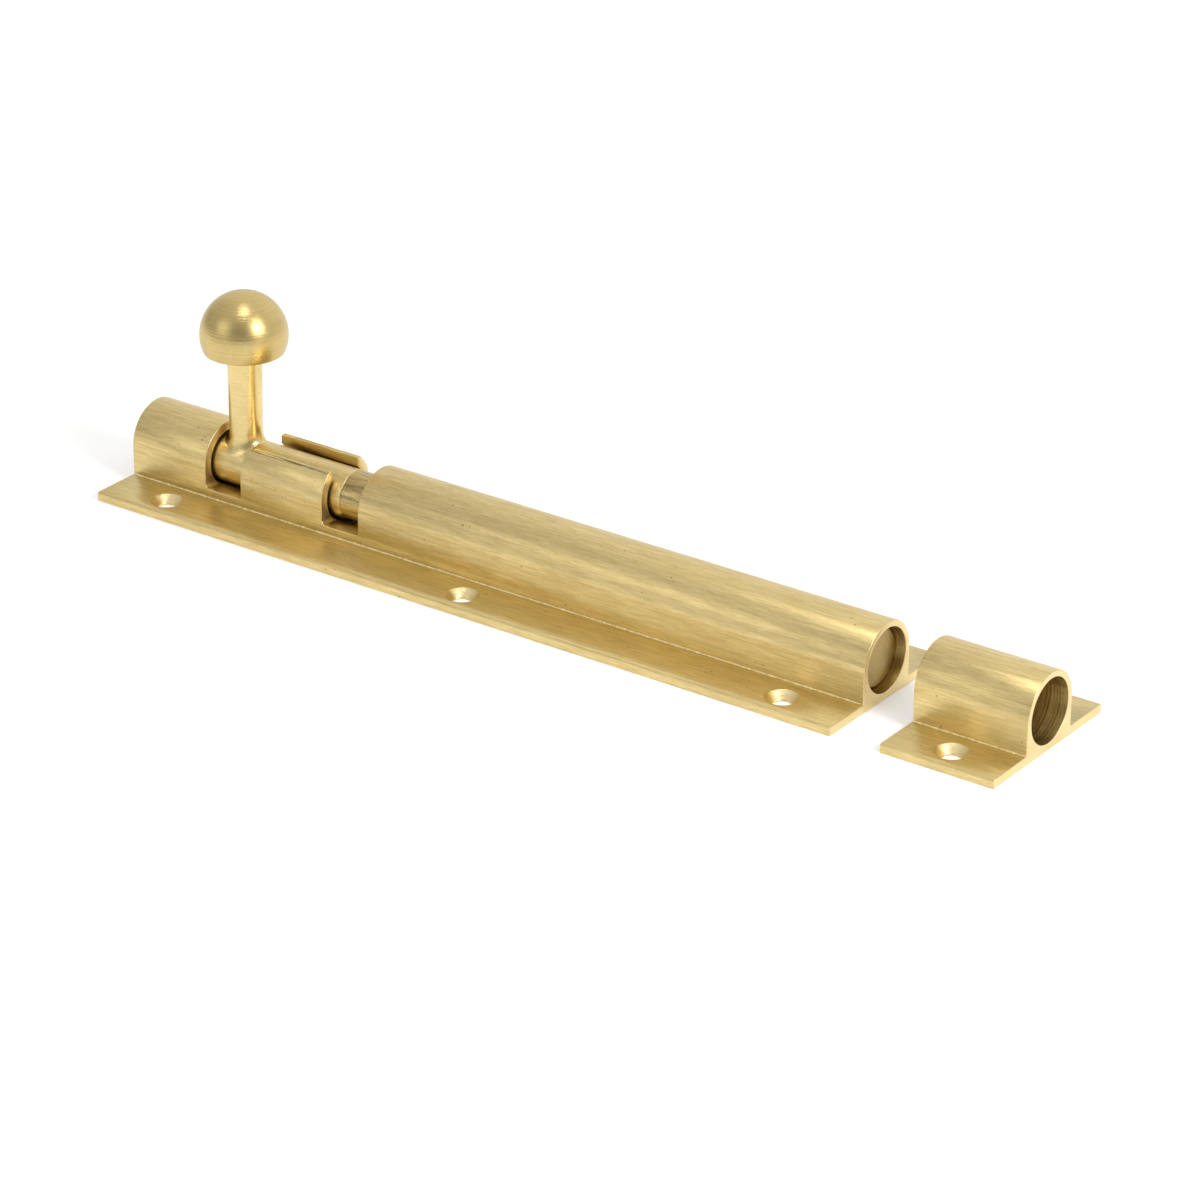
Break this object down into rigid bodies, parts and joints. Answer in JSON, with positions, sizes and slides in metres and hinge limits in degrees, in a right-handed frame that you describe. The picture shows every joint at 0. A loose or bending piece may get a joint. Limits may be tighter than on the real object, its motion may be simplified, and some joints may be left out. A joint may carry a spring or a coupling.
{
  "type": "barrel bolt latch",
  "caption": "Straight barrel bolt with a side knob that lifts, slides and turns down into a notch, and a separate tunnel keeper.",
  "frame": {"origin": "centre of the body's screw pattern on its mounting face", "axes": "+X along the bolt towards the keeper, +Z out of the door, away from the mounting face"},
  "size_m": [0.2434, 0.044, 0.0515],
  "materials": {
    "satin_brass": "satin brushed along its length",
    "turned_brass": "satin with fine turning lines",
    "bright_brass": "bright drawn bar",
    "spring_brass": "dull spring brass"
  },
  "bodies": {
    "housing": {"housing": "satin_brass"},
    "slider": {"friction_ring": "spring_brass"},
    "bolt": {"carrier_bar": "satin_brass", "shoot_bar": "bright_brass", "knob_stem": "turned_brass", "knob": "turned_brass"},
    "keeper": {"keeper": "satin_brass"}
  },
  "joints": [
    {"name": "bolt_slide", "type": "slide", "parent": "housing", "child": "slider", "axis": [1, 0, 0], "range_m": [0, 0.0343]},
    {"name": "bolt_turn", "type": "hinge", "parent": "slider", "child": "bolt", "pos_m": [-0.07445, 0, 0.0092], "axis": [1, 0, 0], "range_deg": [-85.5, 85.5]},
    {"name": "keeper_offset", "type": "slide", "parent": "housing", "child": "keeper", "axis": [1, 0, 0], "range_m": [-0.0109, 0.02]}
  ]
}
